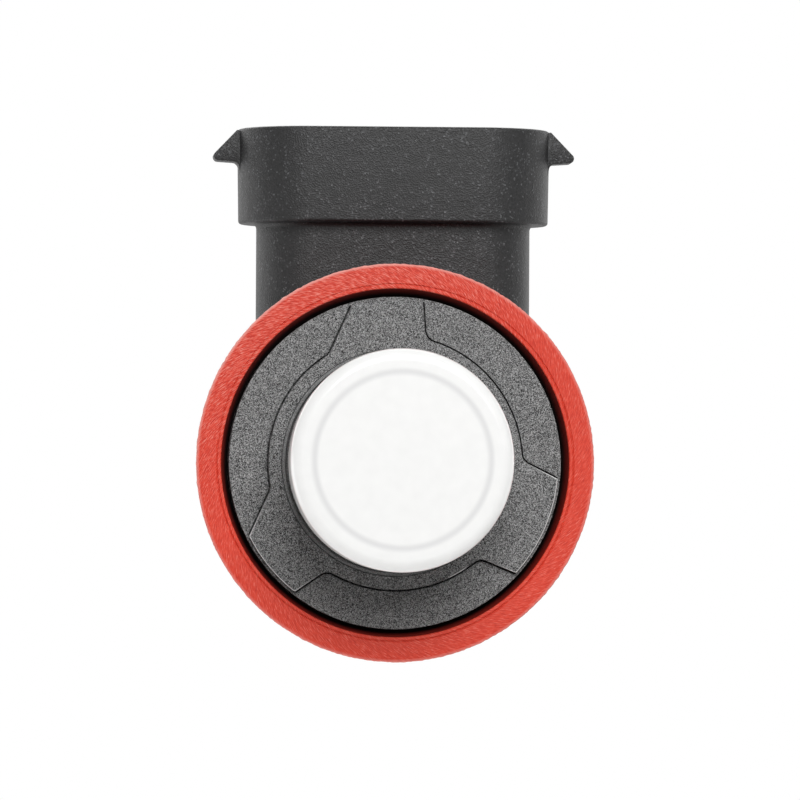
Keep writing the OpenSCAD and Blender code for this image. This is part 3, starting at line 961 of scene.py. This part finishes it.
@dataclass
class Barrel:
    """Round part of the housing: flange, seal seat, shoulder and body."""

    bore_r: float = 7.45
    flange_r: float = 10.88
    flange_t: float = 2.0
    flange_round: float = 0.035
    seat_r: float = 11.25
    seat_rear: float = -4.6
    shoulder_r: float = 12.68
    shoulder_rear: float = -5.8
    shoulder_round: float = 0.25
    body_r: float = 12.08
    body_rear: float = -16.1
    body_round: float = 0.6
    cover_seat_r: float = 11.1
    cover_inner: float = -14.7
    cavity_r: float = 10.0
    front_wall: float = 3.2

    def flange(self, face: KeyedFace) -> None:
        """Turns the front part with its grained finish and cuts the pocket of the face.

        Args:
            face: The keyed face that stands in the pocket.
        """
        front = [
            Corner(self.bore_r, 0),
            Corner(self.flange_r, 0, self.flange_round),
            Corner(self.flange_r, -self.flange_t),
            Corner(self.seat_r, -self.flange_t),
            Corner(self.seat_r, self.seat_rear),
            Corner(self.cavity_r, self.seat_rear),
            Corner(self.cavity_r, -self.front_wall),
            Corner(self.bore_r, -self.front_wall),
        ]
        piece = turned("flange", front)
        cut_away(piece, face.cutter())
        hand_over(smooth(piece), FACE_NYLON, Slot.HOUSING, "housing")

    def body(self) -> None:
        """Turns the shoulder and the body behind the seal."""
        rear = [
            Corner(self.cavity_r, self.seat_rear),
            Corner(self.shoulder_r, self.seat_rear, self.shoulder_round),
            Corner(self.shoulder_r, self.shoulder_rear, self.shoulder_round),
            Corner(self.body_r, self.shoulder_rear, self.shoulder_round),
            Corner(self.body_r, self.body_rear, self.body_round),
            Corner(self.cover_seat_r, self.body_rear),
            Corner(self.cover_seat_r, self.cover_inner),
            Corner(self.cavity_r, self.cover_inner),
        ]
        hand_over(turned("housing_body", rear), SHELL_NYLON, Slot.HOUSING, "housing")

    def build(self, face: KeyedFace) -> None:
        """Models the flange, with the face's pocket, and the body."""
        self.flange(face)
        self.body()


@dataclass
class Connector:
    """Neck, tapered oval shroud with its socket, and the latch ramps at its narrow ends."""

    middle_x: float = 0.3
    middle_y: float = 8.9
    span: float = 11.2
    neck_r: float = 3.5
    neck_foot: float = 6.0
    step_blend: float = 0.35
    shroud_r: float = 4.7
    shroud_z: float = 16.0
    shroud_edge: float = 0.2
    mouth_r: float = 4.8
    mouth_z: float = 22.3
    mouth_edge: float = 0.22
    socket_r: float = 3.4
    floor_z: float = 16.4
    floor_edge: float = 0.2
    passage_r: float = 2.3
    passage_span: float = 4.8
    wall_middle_r: float = 11.2
    wall_cut: float = 60.0
    points_round: int = 128
    ramp_w: float = 2.2
    ramp_edge: float = 0.1
    ramp_steps: int = 2
    ramp_inside: float = 9.8
    ramp_corners: tuple[Corner, ...] = (
        Corner(10.45, 22.2),
        Corner(12.36, 20.21, 0.31),
        Corner(10.36, 20.08, 0.42),
        Corner(10.2, 18.9),
    )

    def sections(self) -> list[tuple[float, float, float]]:
        """Lists the ovals that the shell runs through.

        Returns:
            Radius, height and span of each, from the neck's foot round to its inside.
        """
        shell = rounded(
            [
                Corner(self.neck_r, self.neck_foot),
                Corner(self.neck_r, self.shroud_z, self.step_blend),
                Corner(self.shroud_r, self.shroud_z, self.shroud_edge),
                Corner(self.mouth_r, self.mouth_z, self.mouth_edge),
                Corner(self.socket_r, self.mouth_z, self.mouth_edge),
                Corner(self.socket_r, self.floor_z, self.floor_edge),
                Corner(self.socket_r - 2 * self.floor_edge, self.floor_z),
            ],
            closed=False,
        )
        inside = [
            (self.passage_r, self.floor_z, self.passage_span),
            (self.passage_r, self.neck_foot, self.passage_span),
        ]
        return [(r, z, self.span) for r, z in shell] + inside

    def select_half(self, piece: Object, ring: set[int], side: Side) -> None:
        """Selects one side of an oval.

        Args:
            piece: The shell, in edit mode.
            ring: Numbers of the oval's vertices.
            side: The side of the connector's middle.
        """
        middle = self.middle_x * MM
        select_where(
            piece, lambda vert: vert.index in ring and (vert.co.x - middle) * side.value > 0
        )

    def shell(self) -> None:
        """Models neck, shroud and socket as one wall, from an oval that is extruded on."""
        middle = Vector((self.middle_x, self.middle_y, 0))
        radius, height, span = self.sections()[0]
        deselect_all()
        bpy.ops.mesh.primitive_circle_add(
            vertices=self.points_round,
            radius=radius * MM,
            location=(middle + Vector((0, 0, height))) * MM,
            rotation=(0, 0, math.pi / self.points_round),
        )
        piece = name_new("connector_shell")
        bpy.ops.object.transform_apply(location=True, rotation=True, scale=True)
        bpy.ops.object.mode_set(mode="EDIT")
        bpy.ops.mesh.select_mode(type="VERT")
        first = ring = set(range(self.points_round))
        for side in Side:
            self.select_half(piece, ring, side)
            bpy.ops.transform.translate(value=Vector((side.value * span / 2, 0, 0)) * MM)
        for new_radius, new_height, new_span in self.sections()[1:]:
            select_where(piece, lambda vert: vert.index in ring)
            rise = {"value": Vector((0, 0, new_height - height)) * MM}
            bpy.ops.mesh.extrude_edges_move(TRANSFORM_OT_translate=rise)
            mesh = bmesh.from_edit_mesh(piece.data)
            mesh.verts.index_update()
            ring = {vert.index for vert in mesh.verts if vert.select}
            ratio = new_radius / radius
            for side in Side:
                self.select_half(piece, ring, side)
                centre = middle + Vector((side.value * span / 2, 0, new_height))
                bpy.ops.transform.resize(value=(ratio, ratio, 1), center_override=centre * MM)
                shift = side.value * (new_span - span) / 2
                bpy.ops.transform.translate(value=Vector((shift, 0, 0)) * MM)
            radius, height, span = new_radius, new_height, new_span
        select_where(piece, lambda vert: vert.index in first | ring)
        bpy.ops.mesh.bridge_edge_loops()
        close_up()
        deselect_all()
        cut_away(piece, round_bar(self.wall_middle_r, self.wall_cut, self.middle_y))
        hand_over(smooth(piece), SHELL_NYLON, Slot.HOUSING, "housing")

    def ramp(self, side: Side) -> None:
        """Models one latch ramp: sloped back, rounded tip and a hook under it.

        Args:
            side: Which narrow end it stands at.
        """
        top, foot = self.ramp_corners[0], self.ramp_corners[-1]
        corners = [
            Corner(self.ramp_inside, top.y),
            *self.ramp_corners,
            Corner(self.ramp_inside, foot.y),
        ]
        outline = [(self.middle_x + side.value * x, z) for x, z in rounded(corners)]
        ends = (self.middle_y + self.ramp_w / 2, self.middle_y - self.ramp_w / 2)
        piece = prism(f"latch_ramp_{side.name.lower()}", outline, *ends)
        for end in ends:
            select_where(piece, lambda vert: abs(vert.co.y - end * MM) < MERGE)
            bpy.ops.mesh.bevel(
                offset=self.ramp_edge * MM, segments=self.ramp_steps, clamp_overlap=False
            )
        close_up()
        hand_over(smooth(piece), SHELL_NYLON, Slot.HOUSING, "housing")

    def build(self) -> None:
        """Models the shell and both ramps."""
        self.shell()
        for side in Side:
            self.ramp(side)


@dataclass
class SealRing:
    """Red soft ring with a tapered lip over the flange and a bead round its inner front edge."""

    bore_r: float = 11.3
    mouth_r: float = 11.42
    mouth_round: float = 0.08
    lip_r: float = 10.9
    lip_front: float = -1.8
    lip_rear: float = -1.95
    outer_r: float = 13.1
    waist_r: float = 12.99
    rear_r: float = 12.85
    front: float = 0.4
    rear: float = -4.6
    front_edge: float = 0.1
    rear_edge: float = 0.25
    trim: float = 1.0
    groove_r: float = 11.68
    groove_w: float = 0.07
    groove_depth: float = 0.08
    groove_edge: float = 0.03
    bead_edge: float = 0.05
    waist_round: float = 0.4
    lip_edge: float = 0.1
    steps: int = 960
    wobble_mm: Flat = (0.03, 0.09)
    wobble_len: Flat = (0.9, 0.28)

    def build(self) -> None:
        """Turns the ring and roughens the trimmed front of its outside a little."""
        outline = [
            Corner(self.bore_r, self.rear, self.rear_edge),
            Corner(self.rear_r, self.rear, self.rear_edge),
            Corner(self.waist_r, self.front - self.trim, self.waist_round),
            Corner(self.outer_r, self.front, self.front_edge),
            Corner(self.groove_r + self.groove_w, self.front, self.groove_edge),
            Corner(self.groove_r, self.front - self.groove_depth, self.groove_edge),
            Corner(self.groove_r - self.groove_w, self.front, self.bead_edge),
            Corner(self.mouth_r, self.front, self.mouth_round),
            Corner(self.lip_r, self.lip_front, self.lip_edge),
            Corner(self.lip_r, self.lip_rear),
            Corner(self.bore_r, self.lip_rear),
        ]
        piece = turned("seal_ring_silicone", outline, steps=self.steps)
        for vert in piece.data.vertices:
            flat = Vector((vert.co.x, 0, vert.co.z))
            share = 1 - (vert.co.y / MM + self.front) / self.trim
            if flat.length < self.rear_r * MM or share < 0:
                continue
            for height, length in zip(self.wobble_mm, self.wobble_len):
                wave = (noise.noise(flat.normalized() * (self.outer_r / length)) - 1) / 2
                vert.co += flat.normalized() * (wave * share * height * MM)
        hand_over(piece, RED_SILICONE, Slot.SEAL, "seal_ring")


@dataclass
class SensorHead:
    """White transducer cup and the soft sleeve that carries it."""

    head_r: float = 7.25
    rim_r: float = 7.14
    front: float = 8.9
    edge: float = 0.8
    rim_h: float = 3.0
    rim_edge: float = 0.12
    shank_r: float = 6.35
    rear: float = -1.1
    cavity_r: float = 5.3
    membrane_h: float = 8.1
    ring_r: float = 5.7
    ring_w: float = 0.5
    ring_depth: float = 0.004
    ring_steps: int = 12
    shank_edge: float = 0.1
    sleeve_r: float = 7.42
    sleeve_bore: float = 6.38
    sleeve_top: float = -0.5
    lip_top: float = 0.36
    lip_w: float = 0.22
    lip_foot: float = 7.1
    lip_edges: Flat = (0.05, 0.04)
    foot_edge: float = 0.15
    sleeve_edge: float = 0.1
    collar_r: float = 9.35
    collar_front: float = -3.2
    collar_rear: float = -4.2
    ledge_r: float = 5.0

    def cup(self) -> None:
        """Turns the cup, with the shallow ring in its front as a smooth dip."""
        dip = [
            Corner(
                self.ring_r + self.ring_w * (step / self.ring_steps - 0.5),
                self.front - self.ring_depth * math.sin(math.pi * step / self.ring_steps) ** 2,
            )
            for step in range(self.ring_steps + 1)
        ]
        outline = [
            Corner(0, self.front),
            *dip,
            Corner(self.head_r, self.front, self.edge),
            Corner(self.rim_r, self.rim_h, self.rim_edge),
            Corner(self.shank_r, self.rim_h, self.shank_edge),
            Corner(self.shank_r, self.rear, self.shank_edge),
            Corner(self.cavity_r, self.rear),
            Corner(self.cavity_r, self.membrane_h),
            Corner(0, self.membrane_h),
        ]
        piece = turned("transducer_cup_painted", outline, closed=False)
        hand_over(piece, WHITE_PAINT, Slot.PAINT, "transducer_cup")

    def sleeve(self) -> None:
        """Turns the sleeve with its thin lip beside the hub."""
        outline = [
            Corner(self.sleeve_bore, self.rear),
            Corner(self.sleeve_bore, self.sleeve_top, self.sleeve_edge),
            Corner(self.lip_foot, self.sleeve_top, self.foot_edge),
            Corner(self.sleeve_r - self.lip_w, self.lip_top, self.lip_edges[0]),
            Corner(self.sleeve_r, self.lip_top, self.lip_edges[1]),
            Corner(self.sleeve_r, self.collar_front),
            Corner(self.collar_r, self.collar_front, self.sleeve_edge),
            Corner(self.collar_r, self.collar_rear, self.sleeve_edge),
            Corner(self.ledge_r, self.collar_rear),
            Corner(self.ledge_r, self.rear),
        ]
        piece = turned("decoupling_sleeve_soft", outline)
        hand_over(piece, BLACK_SILICONE, Slot.SOFT, "decoupling_sleeve")

    def build(self) -> None:
        """Models cup and sleeve."""
        self.cup()
        self.sleeve()


@dataclass
class RearCover:
    """Welded lid with a shallow dish in its back."""

    lid_r: float = 11.05
    rear: float = -16.1
    inner: float = -14.7
    dish_r: float = 8.9
    dish_depth: float = 0.3
    dish_foot: float = 0.12
    dish_edge: float = 0.1
    lid_edge: float = 0.15
    spigot_r: float = 9.95
    spigot_wall: float = 0.9
    spigot_front: float = -13.5

    def build(self) -> None:
        """Turns the lid."""
        bore_r = self.spigot_r - self.spigot_wall
        outline = [
            Corner(0, self.rear + self.dish_depth),
            Corner(self.dish_r, self.rear + self.dish_depth, self.dish_foot),
            Corner(self.dish_r, self.rear, self.dish_edge),
            Corner(self.lid_r, self.rear, self.lid_edge),
            Corner(self.lid_r, self.inner),
            Corner(self.spigot_r, self.inner),
            Corner(self.spigot_r, self.spigot_front, self.lid_edge),
            Corner(bore_r, self.spigot_front, self.lid_edge),
            Corner(bore_r, self.inner),
            Corner(0, self.inner),
        ]
        piece = turned("rear_cover_lid", outline, closed=False)
        hand_over(piece, SHELL_NYLON, Slot.COVER, "rear_cover")


class Electronics:
    """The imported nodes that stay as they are: terminals and everything inside."""

    def dress(self) -> None:
        """Gives each node its finish."""
        for name, finish in NODE_FINISHES.items():
            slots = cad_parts[name].data.materials
            slots.clear()
            slots.append(material_of(finish))
            LOG.info("%s: %s", name, finish.name)


# Studio


def seen_rays(tree: NodeTree) -> NodeSocket:
    """Finds the rays that show the studio itself: to the camera, in gloss and through glass.

    Args:
        tree: The node tree that asks.

    Returns:
        A socket that is 1 for such a ray and 0 for light that falls on the sensor.
    """
    rays = add_node(tree, "LightPath")
    seen = rays["Is Camera Ray"]
    for other in ("Is Glossy Ray", "Is Transmission Ray"):
        seen = add_node(tree, "Math", {0: seen, 1: rays[other]}, operation="MAXIMUM")[0]
    return seen


@dataclass(frozen=True)
class StudioPaper:
    """Pale studio paper on a light table.

    Matt and even grey-white with a faint fibre. It fades into the white surroundings, and rays
    that show it find it whiter than the light it throws on the sensor.
    """

    name: str = "pale_studio_paper"
    dark: str = "#bcbcbb"
    light: str = "#c4c4c3"
    roughness: float = 0.9
    fibre_mm: float = 0.6
    white: float = 0.6
    fade: Flat = (42.75, 93.1)

    def make(self) -> Material:
        """Builds the material.

        Returns:
            The material, ready to use.
        """
        material, tree, place = new_material(self.name)
        shader = tree.nodes["Principled BSDF"]
        drawn = {"Vector": place, "Scale": per_mm(self.fibre_mm), "Detail": 3.0}
        fibre = add_node(tree, "TexNoise", drawn)["Fac"]
        stops = [(0.3, self.dark), (0.7, self.light)]
        tone = add_node(tree, "ValToRGB", {"Fac": fibre}, stops)["Color"]
        tree.links.new(tone, shader.inputs["Base Color"])
        shader.inputs["Roughness"].default_value = self.roughness
        flat = add_node(tree, "VectorMath", {0: place, 1: (1, 1, 0)}, operation="MULTIPLY")[0]
        out = add_node(tree, "VectorMath", {0: flat}, operation="LENGTH")["Value"]
        band = {0: out, 1: self.fade[0] * MM, 2: self.fade[1] * MM}
        fade = add_node(tree, "MapRange", band, interpolation_type="SMOOTHSTEP")[0]
        clear = add_node(tree, "BsdfTransparent")[0]
        white = add_node(tree, "Emission", {"Strength": 1.0})[0]
        shares = {0: seen_rays(tree), 1: self.white}
        seen = add_node(tree, "Math", shares, operation="MULTIPLY")[0]
        lit = add_node(tree, "MixShader", {0: seen, 1: shader.outputs[0], 2: white})[0]
        mixed = add_node(tree, "MixShader", {0: fade, 1: lit, 2: clear})[0]
        tree.links.new(mixed, tree.nodes["Material Output"].inputs["Surface"])
        return material


@dataclass(frozen=True)
class Softbox:
    """A square soft light: its place and side in millimetres, its power in watts."""

    name: str
    place: tuple[float, float, float]
    side: float
    power: float

    def hang(self) -> None:
        """Adds the light, aimed at the sensor's face."""
        data = bpy.data.lights.new(self.name, "AREA")
        data.shape = "SQUARE"
        data.size = self.side * MM
        data.energy = self.power
        lamp = bpy.data.objects.new(self.name, data)
        lamp.location = Vector(self.place) * MM
        lamp.rotation_euler = (-lamp.location).to_track_quat("-Z", "Y").to_euler()
        lamp.visible_camera = False
        bpy.context.scene.collection.objects.link(lamp)


@dataclass
class Studio:
    """Floor, surroundings, lights and the photograph's camera."""

    floor_z: float = -30.0
    floor_r: float = 95.0
    floor_steps: int = 96
    fill: float = 0.13
    camera_distance: float = 550.0
    camera_left: float = 3.35
    camera_below: float = 1.2
    camera_roll: float = 0.3
    lens: float = 378.4
    sensor: float = 36.0
    clip: Flat = (0.01, 10.0)
    aim: tuple[float, float, float] = (0.306, 0.0, 4.12)
    lights: tuple[Softbox, ...] = (
        Softbox("key_softbox", (30, -262, 148), 170, 0.92),
        Softbox("left_reflector", (-240, 85, -60), 160, 0.17),
        Softbox("right_reflector", (240, 85, -60), 160, 0.08),
        Softbox("table_left", (-150, 40, -200), 160, 0.36),
        Softbox("table_right", (100, 85, -225), 160, 0.18),
        Softbox("overhead", (0, 200, 200), 200, 0.32),
        Softbox("back_left", (-200, 220, 110), 160, 0.15),
        Softbox("back_right", (200, 220, 60), 160, 0.08),
    )

    def floor(self) -> None:
        """Lays a pale floor below the sensor that fades into the white surroundings."""
        deselect_all()
        bpy.ops.mesh.primitive_circle_add(
            vertices=self.floor_steps,
            radius=self.floor_r * MM,
            fill_type="NGON",
            location=(0, 0, 0),
        )
        floor = name_new("floor")
        # The floor is a light table, which the lamps below shine through
        floor.visible_shadow = False
        bpy.ops.object.mode_set(mode="EDIT")
        bpy.ops.transform.translate(value=Vector((0, 0, self.floor_z)) * MM)
        deselect_all()
        floor.data.materials.append(StudioPaper().make())

    def surroundings(self) -> None:
        """Sets a white background, which the lamps and not the world's light make bright."""
        world = bpy.data.worlds.new("white_tent")
        world.use_nodes = True
        bpy.context.scene.world = world
        tree = world.node_tree
        tree.nodes.clear()
        white, fill = (
            add_node(tree, "Background", {"Color": (1, 1, 1, 1), "Strength": strength})[0]
            for strength in (1.0, self.fill)
        )
        mixed = add_node(tree, "MixShader", {0: seen_rays(tree), 1: fill, 2: white})[0]
        add_node(tree, "OutputWorld", {"Surface": mixed})

    def camera(self) -> None:
        """Sets the camera a little to the left of the axis and below it, as in the photograph."""
        data = bpy.data.cameras.new("photo_camera")
        data.lens = self.lens
        data.sensor_width = self.sensor
        data.clip_start, data.clip_end = self.clip
        left, below = math.radians(self.camera_left), math.radians(self.camera_below)
        flat = math.cos(below)
        ahead = Vector((math.sin(left) * flat, math.cos(left) * flat, math.sin(below)))
        place = -self.camera_distance * ahead
        camera = bpy.data.objects.new("photo_camera", data)
        turn = (Vector(self.aim) - place).to_track_quat("-Z", "Y").to_matrix()
        roll = Matrix.Rotation(math.radians(self.camera_roll), 3, "Z")
        camera.matrix_world = Matrix.Translation(place * MM) @ (turn @ roll).to_4x4()
        bpy.context.scene.collection.objects.link(camera)
        bpy.context.scene.camera = camera

    def build(self) -> None:
        """Sets up the studio."""
        self.camera()
        self.floor()
        self.surroundings()
        for light in self.lights:
            light.hang()
        bpy.context.scene.view_settings.view_transform = "Standard"


def main() -> None:
    """Builds and dresses the sensor, piece by piece, and then its studio."""
    logging.basicConfig(level=logging.INFO, format="%(name)s: %(message)s")
    face = KeyedFace()
    face.build()
    Barrel().build(face)
    Connector().build()
    SealRing().build()
    SensorHead().build()
    RearCover().build()
    Electronics().dress()
    Studio().build()


if __name__ == "__main__":
    main()
